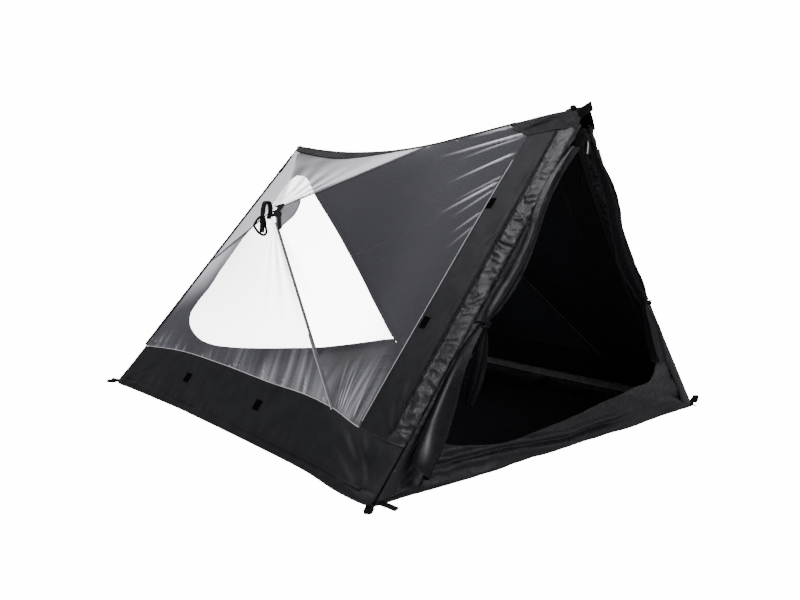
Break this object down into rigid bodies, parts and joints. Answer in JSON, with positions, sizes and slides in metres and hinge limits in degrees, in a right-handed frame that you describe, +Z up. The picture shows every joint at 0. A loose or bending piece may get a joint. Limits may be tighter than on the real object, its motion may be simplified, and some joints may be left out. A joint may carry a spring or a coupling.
{
  "type": "tent",
  "caption": "Free-standing A-shaped two-person camping tent with a see-through mesh wall, an opaque wall, a black floor and tied-back door cloth at both open ends.",
  "frame": {"origin": "middle of the base, on the ground", "axes": "+Y from the front doorway to the rear doorway, +X to the opaque wall, +Z up"},
  "size_m": [1.8872, 2.0991, 1.2185],
  "materials": {
    "black_cloth": "matt coated nylon, near black",
    "wall_cloth": "matt coated nylon, near black",
    "floor_cloth": "coated groundsheet cloth, near black",
    "grey_mesh": "fine see-through insect mesh, grey",
    "patch_cloth": "thin grey reinforcement cloth",
    "webbing": "woven black webbing",
    "pole_tube": "dark grey anodised tube",
    "eyelet_metal": "blackened eyelet",
    "white_cord": "white cord"
  },
  "bodies": {
    "root": {"floor": "floor_cloth", "left_bottom_band": "black_cloth", "right_bottom_band": "black_cloth", "left_front_band": "black_cloth", "right_front_band": "black_cloth", "left_front_sleeve": "black_cloth", "right_front_sleeve": "black_cloth", "left_front_pole": "pole_tube", "right_front_pole": "pole_tube", "left_panel_upper": "grey_mesh", "left_panel_front": "grey_mesh", "left_panel_lower": "grey_mesh", "left_panel_rear": "grey_mesh", "right_panel_upper": "wall_cloth", "right_panel_front": "wall_cloth", "right_panel_lower": "wall_cloth", "right_panel_rear": "wall_cloth", "left_pullout_patch": "patch_cloth", "right_pullout_patch": "patch_cloth", "left_pullout_strap": "webbing", "right_pullout_strap": "webbing", "ridge_strip": "black_cloth", "front_peak_patch": "black_cloth", "front_peak_cap": "black_cloth", "front_peak_tab": "webbing", "rear_peak_cap": "black_cloth", "left_rear_sleeve": "black_cloth", "right_rear_sleeve": "black_cloth", "left_rear_pole": "pole_tube", "right_rear_pole": "pole_tube", "left_rear_door": "black_cloth", "right_rear_door": "black_cloth", "front_sill": "black_cloth", "rear_sill": "black_cloth", "front_left_door_gather": "black_cloth", "front_right_door_gather": "black_cloth", "front_left_door_leaf": "black_cloth", "front_right_door_leaf": "black_cloth", "front_left_corner_loop": "webbing", "front_right_corner_loop": "webbing", "rear_left_corner_loop": "webbing", "rear_right_corner_loop": "webbing", "front_left_eyelet": "eyelet_metal", "front_right_eyelet": "eyelet_metal", "zip_pull": "white_cord"}
  },
  "joints": []
}
